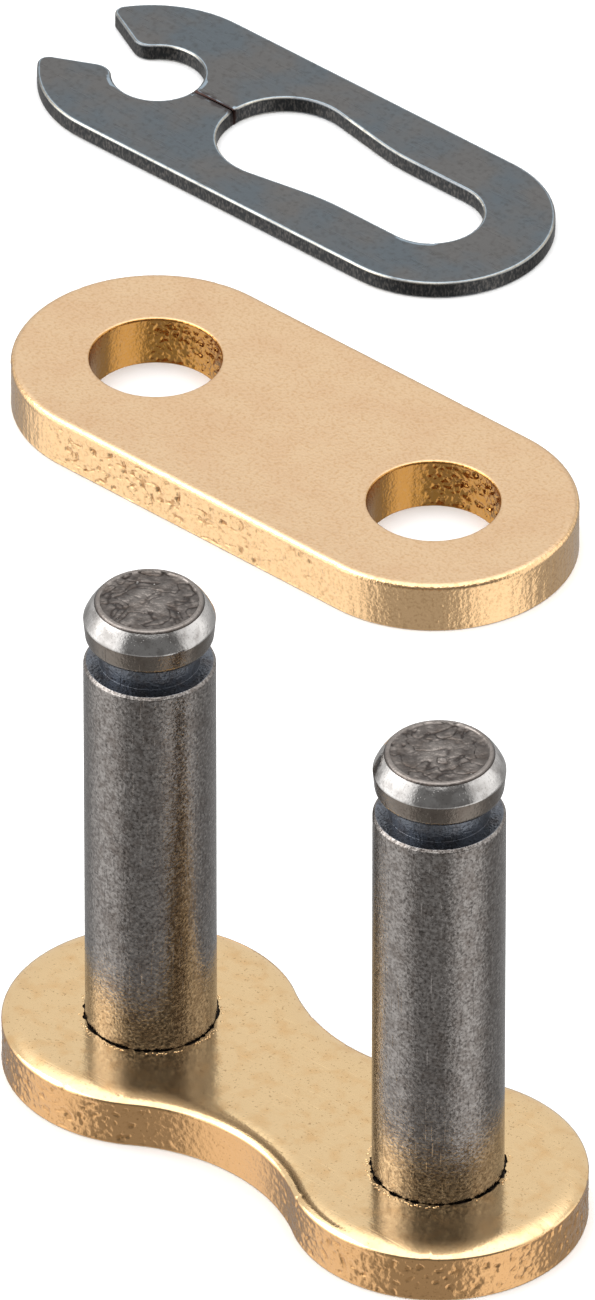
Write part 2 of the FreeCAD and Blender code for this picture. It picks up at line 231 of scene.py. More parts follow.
cloudy = add_node(
    tree, "ShaderNodeMapRange", {"From Min": 0.48, "From Max": 0.74, "To Max": 0.7},
    {"Value": clouds.outputs["Fac"]},
)
plating = add_node(
    tree, "ShaderNodeMix", {"data_type": "RGBA", 6: linear("eccc9c"), 7: linear("dcb27c")},
    {0: cloudy.outputs["Result"]},
)
sheared = add_node(
    tree, "ShaderNodeMix", {"data_type": "RGBA", 7: linear("d4a673")},
    {0: wall.outputs["Result"], 6: plating.outputs[2]},
)
porous = add_node(
    tree, "ShaderNodeMapRange", {"From Min": 0.63, "From Max": 0.72, "To Max": 0.5},
    {"Value": pores.outputs["Fac"]},
)
pitted = add_node(
    tree, "ShaderNodeMix", {"data_type": "RGBA", 7: linear("8a6134")},
    {0: porous.outputs["Result"], 6: sheared.outputs[2]},
)
relief_height = pores.outputs["Fac"]
for turn in (0.35, 1.45, 2.5):
    along = add_node(
        tree, "ShaderNodeMapping",
        {"Rotation": (0, 0, turn), "Scale": (1 / HAIRLINE_LENGTH, 1 / HAIRLINE_WIDTH, 1 / HAIRLINE_WIDTH)},
        {"Vector": spot.outputs["Object"]},
    )
    grain = add_node(
        tree, "ShaderNodeTexNoise", {"Scale": 1.0, "Detail": 1.0}, {"Vector": along.outputs["Vector"]},
    )
    hairline = add_node(
        tree, "ShaderNodeMapRange", {"From Min": 0.64, "From Max": 0.74, "To Max": -0.5},
        {"Value": grain.outputs["Fac"]},
    )
    total = add_node(
        tree, "ShaderNodeMath", {"operation": "ADD"}, {0: relief_height, 1: hairline.outputs["Result"]},
    )
    relief_height = total.outputs["Value"]
waves = add_node(
    tree, "ShaderNodeTexNoise", {"Scale": 1 / WAVE_SIZE, "Detail": 2.0},
    {"Vector": spot.outputs["Object"]},
)
wavy = add_node(tree, "ShaderNodeBump", {"Distance": 0.0035 * MM}, {"Height": waves.outputs["Fac"]})
fine = add_node(
    tree, "ShaderNodeBump", {"Distance": 0.002 * MM},
    {"Height": relief_height, "Normal": wavy.outputs["Normal"]},
)
torn = add_node(
    tree, "ShaderNodeBump", {"Distance": 0.012 * MM},
    {"Strength": wall.outputs["Result"], "Height": pores.outputs["Fac"], "Normal": fine.outputs["Normal"]},
)
gloss = add_node(
    tree, "ShaderNodeMapRange", {"To Min": 0.13, "To Max": 0.22},
    {"Value": cloudy.outputs["Result"]},
)
# Painted shade: the deeper the wall's relief, the browner the wall is drawn.
depth = add_node(tree, "ShaderNodeAttribute", {"attribute_name": "relief"})
tear_shade = add_node(
    tree, "ShaderNodeMapRange", {"From Min": 0.035, "From Max": 0.085, "To Max": 0.5},
    {"Value": depth.outputs["Fac"]},
)
tear_shaded = add_node(
    tree, "ShaderNodeMix", {"data_type": "RGBA", 7: linear("9a6a34")},
    {0: tear_shade.outputs["Result"], 6: pitted.outputs[2]},
)
shader = add_node(
    tree, "ShaderNodeBsdfPrincipled", {"Metallic": 1.0},
    {
        "Base Color": tear_shaded.outputs[2],
        "Roughness": gloss.outputs["Result"],
        "Normal": torn.outputs["Normal"],
    },
)
add_node(tree, "ShaderNodeOutputMaterial", links={"Surface": shader.outputs["BSDF"]})
link_plate.data.materials.append(link_gold)
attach(link_plate, "root")
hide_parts("pin_link_plate")

# Pins: bearing steel, turned and centreless ground, then pressed through the link plate. A groove
# for the clip is cut under each head. The cold-headed end keeps a wrinkled skin with a pip.
PIN_RADIUS = 2.75 * MM
PIN_TOP = LINK_THICKNESS + 21.2 * MM
FOOT_BOTTOM = 0.1 * MM
FOOT_CHAMFER = 0.2 * MM
FOOT_TOP = LINK_THICKNESS - 0.09 * MM
HEAD_BOTTOM = PIN_TOP - 1.9 * MM
HEAD_DRAFT = 0.08 * MM
HEAD_UNDERCUT = 0.2 * MM
GROOVE_BOTTOM = HEAD_BOTTOM - 1.15 * MM
GROOVE_RADIUS = 2.1 * MM
SHOULDER_BREAK = 0.12 * MM
TIP_RADIUS = 2.2 * MM
TIP_CONE = 0.87 * MM
CONE_BULGE = 0.05 * MM
CRISP = 0.02 * MM
SHOULDER_ROUND = 0.03 * MM
FOOT_ROUND = 0.04 * MM
CONE_ROUND = 0.05 * MM
HEAD_ROUND = 0.06 * MM
BULGE_ROUND = 0.3 * MM
SKIN_STEP = 0.04 * MM
SKIN_DEPTH = 0.1 * MM
FOLD_RATE = 1.5 / MM
LUMP_RATE = 2.2 / MM
VEIN_RATE = 0.75 / MM
PIP_RADIUS = 0.55 * MM
PIN_SEGMENTS = 200
WELD_DISTANCE = 0.0005 * MM


def rounded(corners):
    """Section through (radius, height, rounding) corners, with a point beside each rounding."""
    section = [Vector(corners[0][:2])]
    for before, corner, after in zip(corners, corners[1:], corners[2:]):
        middle = Vector(corner[:2])
        sides = []
        for other in (before, after):
            side = Vector(other[:2]) - middle
            sides.append((side.normalized(), side.length))
        starts = [middle + way * corner[2] for way, _ in sides]
        margins = [middle + way * (corner[2] + FLAT_MARGIN) for way, _ in sides]
        if sides[0][1] > 6 * FLAT_MARGIN:
            section.append(margins[0])
        for i in range(ROLL_STEPS + 1):
            part = i / ROLL_STEPS
            section.append(starts[0].lerp(middle, part).lerp(middle.lerp(starts[1], part), part))
        if sides[1][1] > 6 * FLAT_MARGIN:
            section.append(margins[1])
    return section


pin_section = rounded([
    (0.0, FOOT_BOTTOM, 0.0),
    (FOOT_RADIUS - FOOT_CHAMFER, FOOT_BOTTOM, FOOT_ROUND),
    (FOOT_RADIUS, FOOT_BOTTOM + FOOT_CHAMFER, FOOT_ROUND),
    (FOOT_RADIUS, FOOT_TOP, CRISP),
    (PIN_RADIUS, FOOT_TOP, CRISP),
    (PIN_RADIUS, GROOVE_BOTTOM - SHOULDER_BREAK, SHOULDER_ROUND),
    (PIN_RADIUS - SHOULDER_BREAK, GROOVE_BOTTOM, SHOULDER_ROUND),
    (GROOVE_RADIUS, GROOVE_BOTTOM, CRISP),
    (GROOVE_RADIUS, HEAD_BOTTOM, CRISP),
    (PIN_RADIUS - HEAD_UNDERCUT, HEAD_BOTTOM, HEAD_ROUND),
    (PIN_RADIUS - HEAD_DRAFT, HEAD_BOTTOM + HEAD_UNDERCUT, HEAD_ROUND),
    (PIN_RADIUS, PIN_TOP - TIP_CONE, CONE_ROUND),
    ((PIN_RADIUS + TIP_RADIUS) / 2 + CONE_BULGE, PIN_TOP - TIP_CONE / 2 + CONE_BULGE, BULGE_ROUND),
    (TIP_RADIUS, PIN_TOP, HEAD_ROUND),
    (0.0, PIN_TOP, 0.0),
])
skin_edge = pin_section[-1].x
skin_rings = math.ceil(skin_edge / SKIN_STEP)
pin_section += [Vector((skin_edge * (1 - i / skin_rings), PIN_TOP)) for i in range(1, skin_rings + 1)]
pin_section.reverse()

turning = bpy.data.node_groups.new("turn a pin", "GeometryNodeTree")
turning.interface.new_socket("Section", in_out="INPUT", socket_type="NodeSocketGeometry")
for name in ("Place", "Bearing Radius", "Skin Height", "Skin Radius", "Wrinkle Depth", "Pip Radius", "Seed"):
    turning.interface.new_socket(name, in_out="INPUT", socket_type="NodeSocketFloat")
turning.interface.new_socket("Segments", in_out="INPUT", socket_type="NodeSocketInt")
turning.interface.new_socket("Steel", in_out="INPUT", socket_type="NodeSocketMaterial")
turning.interface.new_socket("Pin", in_out="OUTPUT", socket_type="NodeSocketGeometry")
given = add_node(turning, "NodeGroupInput").outputs

# The section is swept round a circle, and its poles and seam are merged.
circle = add_node(
    turning, "GeometryNodeCurvePrimitiveCircle",
    links={"Resolution": given["Segments"], "Radius": given["Bearing Radius"]},
)
section_curve = add_node(turning, "GeometryNodeMeshToCurve", links={"Mesh": given["Section"]})
turned = add_node(
    turning, "GeometryNodeCurveToMesh",
    links={"Curve": circle.outputs["Curve"], "Profile Curve": section_curve.outputs["Curve"]},
)
closed = add_node(
    turning, "GeometryNodeMergeByDistance", {"Distance": WELD_DISTANCE},
    {"Geometry": turned.outputs["Mesh"]},
)

# The skin sinks in folds that run out from the pip, in lumps, and in creases where a noise crosses
# its middle value.
place = add_node(turning, "GeometryNodeInputPosition").outputs["Position"]
height = add_node(turning, "ShaderNodeSeparateXYZ", links={"Vector": place}).outputs["Z"]
flat = add_node(
    turning, "ShaderNodeVectorMath", {"operation": "MULTIPLY", 1: (1, 1, 0)}, {0: place},
).outputs["Vector"]
radius = add_node(turning, "ShaderNodeVectorMath", {"operation": "LENGTH"}, {0: flat}).outputs["Value"]
heading = add_node(turning, "ShaderNodeVectorMath", {"operation": "NORMALIZE"}, {0: flat}).outputs["Vector"]
drawn_out = add_node(
    turning, "ShaderNodeVectorMath", {"operation": "MULTIPLY_ADD", 1: (3.6, 3.6, 0)},
    {0: heading},
)
slow = add_node(turning, "ShaderNodeVectorMath", {"operation": "SCALE", "Scale": FOLD_RATE}, {0: flat})
turning.links.new(slow.outputs["Vector"], drawn_out.inputs[2])
folds = add_node(
    turning, "ShaderNodeTexNoise", {"noise_dimensions": "4D", "Scale": 1.0, "Detail": 2.0},
    {"Vector": drawn_out.outputs["Vector"], "W": given["Seed"]},
).outputs["Fac"]
lumps = add_node(
    turning, "ShaderNodeTexNoise",
    {"noise_dimensions": "4D", "Scale": LUMP_RATE, "Detail": 4.0, "Roughness": 0.6},
    {"Vector": flat, "W": given["Seed"]},
).outputs["Fac"]
ridged = add_node(
    turning, "ShaderNodeMapRange", {"interpolation_type": "SMOOTHSTEP", "From Min": 0.42, "From Max": 0.6},
    {"Value": folds},
).outputs["Result"]
lumpy = add_node(
    turning, "ShaderNodeMapRange", {"From Min": 0.3, "From Max": 0.7}, {"Value": lumps},
).outputs["Result"]
veins = add_node(
    turning, "ShaderNodeTexNoise",
    {"noise_dimensions": "4D", "Scale": VEIN_RATE, "Detail": 1.0, "Distortion": 1.2},
    {"Vector": flat, "W": given["Seed"]},
).outputs["Fac"]
off_vein = add_node(turning, "ShaderNodeMath", {"operation": "SUBTRACT", 1: 0.5}, {0: veins}).outputs["Value"]
from_vein = add_node(turning, "ShaderNodeMath", {"operation": "ABSOLUTE"}, {0: off_vein}).outputs["Value"]
creased = add_node(
    turning, "ShaderNodeMapRange",
    {"interpolation_type": "SMOOTHSTEP", "From Max": 0.035, "To Min": 0.38, "To Max": 0.0},
    {"Value": from_vein},
).outputs["Result"]
pip_edge = add_node(
    turning, "ShaderNodeMath", {"operation": "MULTIPLY", 1: 1.9}, {0: given["Pip Radius"]},
).outputs["Value"]
off_pip = add_node(
    turning, "ShaderNodeMapRange", {"interpolation_type": "SMOOTHSTEP"},
    {"Value": radius, "From Min": given["Pip Radius"], "From Max": pip_edge},
).outputs["Result"]
sunk = add_node(
    turning, "ShaderNodeMath", {"operation": "MULTIPLY_ADD", 1: 0.1, 2: 0.22}, {0: ridged},
).outputs["Value"]
lumps_share = add_node(
    turning, "ShaderNodeMath", {"operation": "MULTIPLY_ADD", 1: 0.6}, {0: lumpy, 2: creased},
).outputs["Value"]
shaped = add_node(
    turning, "ShaderNodeMath", {"operation": "MULTIPLY_ADD"}, {0: sunk, 1: off_pip, 2: lumps_share},
).outputs["Value"]

# The relief fades out at the rim of the skin, and only points on the skin move.
near_edge = add_node(
    turning, "ShaderNodeMath", {"operation": "MULTIPLY", 1: 0.975}, {0: given["Skin Radius"]},
).outputs["Value"]
inside = add_node(
    turning, "ShaderNodeMapRange", {"interpolation_type": "SMOOTHSTEP", "To Min": 1.0, "To Max": 0.0},
    {"Value": radius, "From Min": near_edge, "From Max": given["Skin Radius"]},
).outputs["Result"]
faded = add_node(
    turning, "ShaderNodeMath", {"operation": "MULTIPLY"}, {0: shaped, 1: inside},
).outputs["Value"]
depth = add_node(
    turning, "ShaderNodeMath", {"operation": "MULTIPLY"}, {0: faded, 1: given["Wrinkle Depth"]},
).outputs["Value"]
down = add_node(turning, "ShaderNodeMath", {"operation": "MULTIPLY", 1: -1.0}, {0: depth}).outputs["Value"]
shift = add_node(turning, "ShaderNodeCombineXYZ", links={"Z": down}).outputs["Vector"]
on_skin = add_node(
    turning, "FunctionNodeCompare", {"data_type": "FLOAT", "operation": "GREATER_THAN"},
    {0: height, 1: given["Skin Height"]},
).outputs["Result"]
wrinkled = add_node(
    turning, "GeometryNodeSetPosition",
    links={"Geometry": closed.outputs["Geometry"], "Selection": on_skin, "Offset": shift},
)

# The finished pin moves to its place on the link plate.
to_place = add_node(turning, "ShaderNodeCombineXYZ", links={"X": given["Place"]}).outputs["Vector"]
placed = add_node(
    turning, "GeometryNodeTransform",
    links={"Geometry": wrinkled.outputs["Geometry"], "Translation": to_place},
)
realized = add_node(turning, "GeometryNodeRealizeInstances", links={"Geometry": placed.outputs["Geometry"]})
finished = add_node(
    turning, "GeometryNodeSetMaterial",
    links={"Geometry": realized.outputs["Geometry"], "Material": given["Steel"]},
)
add_node(turning, "NodeGroupOutput", links={"Pin": finished.outputs["Geometry"]})


def evaluated_piece(name, data, tree, values):
    """Plain mesh object of what a Geometry Nodes tree makes of a mesh, with values by input name."""
    source = bpy.data.objects.new(name + "_source", data)
    bpy.context.scene.collection.objects.link(source)
    modifier = source.modifiers.new(tree.name, "NODES")
    modifier.node_group = tree
    for socket in tree.interface.items_tree:
        if socket.in_out == "INPUT" and socket.name in values:
            modifier[socket.identifier] = values[socket.name]
    graph = bpy.context.evaluated_depsgraph_get()
    result = bpy.data.meshes.new_from_object(source.evaluated_get(graph))
    bpy.data.objects.remove(source)
    result.name = name
    piece = bpy.data.objects.new(name, result)
    bpy.context.scene.collection.objects.link(piece)
    return piece


# Ground steel, lightly oxidised: a warm grey with cloudy mottling, grubby patches, and dark specks
# from the tumbling, about 0.1 mm across. The cone of the head is bright from burnishing, the
# creased skin on it painted darker in its folds as shade, the groove blue from heat, and the foot
# painted near-black as shade in its crevice.
MOTTLE_SIZE = 0.14 * MM
SPECK_SIZE = 0.11 * MM
GRUBBY_SIZE = 0.6 * MM
SCRATCH_LENGTH = 1.6 * MM
SCRATCH_WIDTH = 0.07 * MM
pin_steel, tree = new_material("ground bearing steel")
spot = add_node(tree, "ShaderNodeTexCoord").outputs["Object"]
height = add_node(tree, "ShaderNodeSeparateXYZ", links={"Vector": spot}).outputs["Z"]
mottle = add_node(
    tree, "ShaderNodeTexNoise", {"Scale": 1 / MOTTLE_SIZE, "Detail": 4.0}, {"Vector": spot},
).outputs["Fac"]
mottled = add_node(
    tree, "ShaderNodeMapRange", {"From Min": 0.35, "From Max": 0.65}, {"Value": mottle},
).outputs["Result"]
colour = add_node(
    tree, "ShaderNodeMix", {"data_type": "RGBA", 6: linear("6a6460"), 7: linear("9a9591")}, {0: mottled},
).outputs[2]
sheen = add_node(
    tree, "ShaderNodeMapRange", {"To Min": 0.17, "To Max": 0.28}, {"Value": mottled},
).outputs["Result"]

# Zones of the pin by height: the band of the head, its cone, the skin, the groove and the foot,
# whose near-black is painted shade in the crevice round it. Each is (bottom, top, colour, roughness,
# strength of the relief).
ABOVE = PIN_TOP + 1 * MM
BAND_BOTTOM = HEAD_BOTTOM + 0.1 * MM
CONE_BOTTOM = PIN_TOP - TIP_CONE - 0.03 * MM
NECK_BOTTOM = GROOVE_BOTTOM - 0.01 * MM
CREVICE_SHADE_TOP = LINK_THICKNESS - 0.01 * MM
zones = (
    (BAND_BOTTOM, ABOVE, "706860", 0.2, 1.0),
    (CONE_BOTTOM, ABOVE, "c4c1be", 0.13, 0.32),
    (PIN_TOP - SKIN_DEPTH, ABOVE, "d8d3cc", 0.3, 0.8),
    (NECK_BOTTOM, BAND_BOTTOM, "6a6e75", 0.28, 1.8),
    # Painted shade: the foot, seen in the crevice round the pin, is drawn near-black.
    (0.0, CREVICE_SHADE_TOP, "1c1815", 0.5, 1.0),
)
grain = None
for bottom, top, code, dullness, roughening in zones:
    within = add_node(
        tree, "ShaderNodeMath", {"operation": "COMPARE", 1: (bottom + top) / 2, 2: (top - bottom) / 2},
        {0: height},
    ).outputs["Value"]
    colour = add_node(
        tree, "ShaderNodeMix", {"data_type": "RGBA", 7: linear(code)}, {0: within, 6: colour},
    ).outputs[2]
    sheen = add_node(
        tree, "ShaderNodeMix", {"data_type": "FLOAT", 3: dullness}, {0: within, 2: sheen},
    ).outputs[0]
    grain = add_node(
        tree, "ShaderNodeMix", {"data_type": "FLOAT", 2: 1.0, 3: roughening},
        {0: within, 2: grain} if grain else {0: within},
    ).outputs[0]

# The skin is painted darker in its folds as shade and paler on its tops, and specks and dirt lie over
# everything.
worn = add_node(
    tree, "ShaderNodeMapRange",
    {"From Min": PIN_TOP - 0.8 * SKIN_DEPTH, "From Max": PIN_TOP - 0.05 * SKIN_DEPTH},
    {"Value": height},
).outputs["Result"]
# Painted shade: the skin's colour darkens with the depth of its folds.
skin_fold_shade = add_node(
    tree, "ShaderNodeMix", {"data_type": "RGBA", 6: linear("403a37"), 7: linear("8d8681")}, {0: worn},
).outputs[2]
on_skin = add_node(
    tree, "ShaderNodeMath", {"operation": "GREATER_THAN", 1: PIN_TOP - SKIN_DEPTH}, {0: height},
).outputs["Value"]
colour = add_node(
    tree, "ShaderNodeMix", {"data_type": "RGBA"}, {0: on_skin, 6: colour, 7: skin_fold_shade},
).outputs[2]
specks = add_node(
    tree, "ShaderNodeTexNoise", {"Scale": 1 / SPECK_SIZE, "Detail": 1.0}, {"Vector": spot},
).outputs["Fac"]
burnished = add_node(
    tree, "ShaderNodeMapRange",
    {"From Min": HEAD_BOTTOM, "From Max": HEAD_BOTTOM + 0.2 * MM, "To Min": 0.6, "To Max": 0.2},
    {"Value": height},
).outputs["Result"]
grubby = add_node(
    tree, "ShaderNodeTexNoise", {"Scale": 1 / GRUBBY_SIZE, "Detail": 3.0}, {"Vector": spot},
).outputs["Fac"]
dirt = add_node(
    tree, "ShaderNodeMapRange", {"From Min": 0.48, "From Max": 0.66, "To Max": 0.35}, {"Value": grubby},
).outputs["Result"]
colour = add_node(
    tree, "ShaderNodeMix", {"data_type": "RGBA", 7: linear("574c44")}, {0: dirt, 6: colour},
).outputs[2]
specked = add_node(
    tree, "ShaderNodeMapRange", {"From Min": 0.56, "From Max": 0.7},
    {"Value": specks, "To Max": burnished},
).outputs["Result"]
colour = add_node(
    tree, "ShaderNodeMix", {"data_type": "RGBA", 7: linear("2e2a28")}, {0: specked, 6: colour},
).outputs[2]
upright = add_node(
    tree, "ShaderNodeMapping",
    {"Rotation": (0.5, 0.3, 0), "Scale": (1 / SCRATCH_WIDTH, 1 / SCRATCH_WIDTH, 1 / SCRATCH_LENGTH)},
    {"Vector": spot},
).outputs["Vector"]
scratch = add_node(
    tree, "ShaderNodeTexNoise", {"Scale": 1.0, "Detail": 1.0}, {"Vector": upright},
).outputs["Fac"]
scratched = add_node(
    tree, "ShaderNodeMapRange", {"From Min": 0.68, "From Max": 0.76, "To Max": 1.0}, {"Value": scratch},
).outputs["Result"]
rough_height = add_node(
    tree, "ShaderNodeMath", {"operation": "MULTIPLY_ADD", 1: 1.5}, {0: mottle, 2: specks},
).outputs["Value"]
total_height = add_node(
    tree, "ShaderNodeMath", {"operation": "SUBTRACT"}, {0: rough_height, 1: scratched},
).outputs["Value"]
skin = add_node(
    tree, "ShaderNodeBump", {"Distance": 0.012 * MM}, {"Height": total_height, "Strength": grain},
).outputs["Normal"]
shader = add_node(
    tree, "ShaderNodeBsdfPrincipled", {"Metallic": 1.0},
    {"Base Color": colour, "Roughness": sheen, "Normal": skin},
)
add_node(tree, "ShaderNodeOutputMaterial", links={"Surface": shader.outputs["BSDF"]})

# The seeds aren't whole numbers, where the noise would draw a star round the axis.
PIN_SEED = 3.4
SEED_STEP = 5.17
for number, (side, place) in enumerate((("left", -reach), ("right", reach))):
    section_data = bpy.data.meshes.new(f"pin_{side}_section")
    links = [(i, i + 1) for i in range(len(pin_section) - 1)]
    section_data.from_pydata([(point.x - PIN_RADIUS, -point.y, 0) for point in pin_section], links, [])
    pin = evaluated_piece(f"pin_{side}_turned", section_data, turning, {
        "Place": place,
        "Bearing Radius": PIN_RADIUS,
        "Skin Height": PIN_TOP - 0.001 * MM,
        "Skin Radius": skin_edge,
        "Wrinkle Depth": 0.9 * SKIN_DEPTH,
        "Pip Radius": PIP_RADIUS,
        "Seed": PIN_SEED + SEED_STEP * number,
        "Segments": PIN_SEGMENTS,
        "Steel": pin_steel,
    })
    pin.data.shade_smooth()
    pin.data.set_sharp_from_angle(angle=math.radians(40))
    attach(pin, "root")
    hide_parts(f"pin_{side}")

# Burrs: crumbs of plating and steel that the pressing threw up round each foot. They stand on
# the plate, thickest on the side that the ram pushed last.
BURR_RING = FOOT_RADIUS + 0.05 * MM
BURR_SIZE = 0.055 * MM
BURR_SCATTER = 0.07 * MM
BURR_CLUSTER = 1.1 * MM
BURR_SHARE = 0.95
BURR_COUNT = 230
BURR_SEED = 11
burr_tree = bpy.data.node_groups.new("throw up burrs", "GeometryNodeTree")
burr_tree.interface.new_socket("Base", in_out="INPUT", socket_type="NodeSocketGeometry")
for name in ("Place", "Ring Radius", "Plate Top", "Burr Size", "Scatter", "Share", "Cluster Size"):
    burr_tree.interface.new_socket(name, in_out="INPUT", socket_type="NodeSocketFloat")
burr_tree.interface.new_socket("Count", in_out="INPUT", socket_type="NodeSocketInt")
burr_tree.interface.new_socket("Seed", in_out="INPUT", socket_type="NodeSocketInt")
burr_tree.interface.new_socket("Metal", in_out="INPUT", socket_type="NodeSocketMaterial")
burr_tree.interface.new_socket("Burrs", in_out="OUTPUT", socket_type="NodeSocketGeometry")
given = add_node(burr_tree, "NodeGroupInput").outputs

# Points on a ring, each shaken a little. Those in the thick of a slow noise get a crumb.
ring = add_node(
    burr_tree, "GeometryNodeCurvePrimitiveCircle",
    links={"Resolution": given["Count"], "Radius": given["Ring Radius"]},
).outputs["Curve"]
ring_points = add_node(
    burr_tree, "GeometryNodeCurveToPoints", {"mode": "EVALUATED"}, {"Curve": ring},
).outputs["Points"]
spread = add_node(
    burr_tree, "FunctionNodeRandomValue", {"data_type": "FLOAT_VECTOR", 0: (-1, -1, 0), 1: (1, 1, 0)},
    {"Seed": given["Seed"]},
).outputs[0]
scattered = add_node(
    burr_tree, "ShaderNodeVectorMath", {"operation": "SCALE"}, {0: spread, "Scale": given["Scatter"]},
).outputs["Vector"]
moved = add_node(
    burr_tree, "GeometryNodeSetPosition", links={"Geometry": ring_points, "Offset": scattered},
).outputs["Geometry"]
cluster_scale = add_node(
    burr_tree, "ShaderNodeMath", {"operation": "DIVIDE", 0: 1.0}, {1: given["Cluster Size"]},
).outputs["Value"]
cluster = add_node(
    burr_tree, "ShaderNodeTexNoise", {"noise_dimensions": "4D", "Detail": 1.0},
    {"W": given["Seed"], "Scale": cluster_scale},
).outputs["Fac"]
crowded = add_node(
    burr_tree, "ShaderNodeMapRange", {"From Min": 0.44, "From Max": 0.62},
    {"Value": cluster, "To Max": given["Share"]},
).outputs["Result"]
kept = add_node(
    burr_tree, "FunctionNodeRandomValue", {"data_type": "BOOLEAN"},
    {"Probability": crowded, "Seed": given["Seed"]},
).outputs[3]

# A crumb is a small ball, flattened and turned by chance.
crumb = add_node(
    burr_tree, "GeometryNodeMeshIcoSphere", {"Subdivisions": 2}, {"Radius": given["Burr Size"]},
).outputs["Mesh"]
growth = add_node(
    burr_tree, "FunctionNodeRandomValue",
    {"data_type": "FLOAT_VECTOR", 0: (0.4, 0.4, 0.25), 1: (1.5, 1.0, 0.6)}, {"Seed": given["Seed"]},
).outputs[0]
turn = add_node(
    burr_tree, "FunctionNodeRandomValue", {"data_type": "FLOAT_VECTOR", 0: (0, 0, 0), 1: (0, 0, 6.28)},
    {"Seed": given["Seed"]},
).outputs[0]
crumbs = add_node(
    burr_tree, "GeometryNodeInstanceOnPoints",
    links={"Points": moved, "Selection": kept, "Instance": crumb, "Rotation": turn, "Scale": growth},
).outputs["Instances"]
to_place = add_node(
    burr_tree, "ShaderNodeCombineXYZ", links={"X": given["Place"], "Z": given["Plate Top"]},
).outputs["Vector"]
placed = add_node(
    burr_tree, "GeometryNodeTransform", links={"Geometry": crumbs, "Translation": to_place},
).outputs["Geometry"]
realized = add_node(
    burr_tree, "GeometryNodeRealizeInstances", links={"Geometry": placed},
).outputs["Geometry"]
finished = add_node(
    burr_tree, "GeometryNodeSetMaterial", links={"Geometry": realized, "Material": given["Metal"]},
).outputs["Geometry"]
add_node(burr_tree, "NodeGroupOutput", links={"Burrs": finished})

for number, (side, place) in enumerate((("left", -reach), ("right", reach))):
    base = bpy.data.meshes.new(f"burrs_{side}_base")
    burrs = evaluated_piece(f"burrs_round_foot_{side}", base, burr_tree, {
        "Place": place,
        "Ring Radius": BURR_RING,
        "Plate Top": LINK_THICKNESS,
        "Burr Size": BURR_SIZE,
        "Scatter": BURR_SCATTER,
        "Share": BURR_SHARE,
        "Cluster Size": BURR_CLUSTER,
        "Count": BURR_COUNT,
        "Seed": BURR_SEED + number,
        "Metal": link_gold,
    })
    burrs.data.shade_smooth()
    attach(burrs, "root")

# Cover plate: slips over both pins under the clip. Carbon steel, blanked with straight sides and
# round ends, pierced twice and tumbled, then plated satin gold. The long walls tore in the die.
COVER_THICKNESS = 2.35 * MM
COVER_RADIUS = 6.25 * MM
BORE_RADIUS = 2.85 * MM
BORE_ROLL = (0.12 * MM, 0.12 * MM)
COVER_ROLL = (0.26 * MM, 0.28 * MM)
BORE_BREAK = 0.02 * MM
COVER_STEP = 0.06 * MM


def straight(start, end, step):
    """Points along a straight edge, without its last one."""
    start, end = Vector(start), Vector(end)
    count = math.ceil((end - start).length / step)
    return [start.lerp(end, i / count) for i in range(count)]


def cover_wall(spot, height):
    """Depth of the cover's wall: cracks, pits and folds along its sides, fine streaks round its ends."""
    x, y, z = spot.x / MM, spot.y / MM, height / MM
    top = COVER_THICKNESS / MM
    body = eased(z, 0.02, 0.15) * eased(top - z, 0.2, 0.38)
    side = 1 - eased(abs(spot.x - centre.x) / MM, reach / MM - 0.3, reach / MM + 1.2)
    waver = 0.35 * noise.noise(Vector((x * 1.1, y, 7.0)))
    line = abs(noise.noise(Vector((x * 1.1, y, (z + waver) * 2.2))))
    shown = eased(noise.noise(Vector((x * 1.6, y, z * 1.2 + 20.0))), -0.35, 0.05)
    crack = (1 - eased(line, 0.03, 0.13)) * shown
    pit = eased(noise.noise(Vector((x * 3.6, y + 8.0, z * 3.2))), 0.3, 0.45)
    fold = 0.5 + 0.5 * noise.fractal(Vector((x * 4.4, y * 4.4, z * 2.0)), 0.6, 2.2, 3)
    streak = 0.5 + 0.5 * noise.noise(Vector((x * 4.4, y * 4.4, z * 0.6)))
    worn = 0.4 + 0.6 * eased(centre.x / MM - x, -7.0, 2.0)
    torn = worn * (0.05 * crack + 0.045 * worn * pit) + (0.07 - 0.025 * worn) * fold
    nick = eased(noise.noise(Vector((x * 1.1, y * 1.1, 31.0))), 0.4, 0.6)
    rim = eased(top - z, 0.0, 0.06) * eased(z, top - 0.5, top - 0.25)
    return (body * (side * torn + (1 - side) * (0.024 * streak + 0.018 * fold)) + rim * nick * 0.03) * MM


def bore_wall(spot, height):
    """Depth of a pierced bore's wall: drawn out into fine upright streaks, crinkled in one quarter."""
    x, y, z = spot.x / MM, spot.y / MM, height / MM
    body = eased(z, 0.02, 0.2) * eased(COVER_THICKNESS / MM - z, 0.1, 0.3)
    streak = 0.5 + 0.5 * noise.noise(Vector((x * 2.6, y * 2.6, z * 0.5)))
    crinkle = abs(noise.fractal(Vector((x * 2.2, y * 2.2, z * 1.9)), 0.6, 2.1, 3))
    across = x - centre.x / MM - math.copysign(reach, spot.x - centre.x) / MM
    quarter_turn = eased(y - centre.y / MM + 0.3 * across, 0.8, 1.9)
    return body * (0.02 * streak + 0.15 * quarter_turn * crinkle) * MM


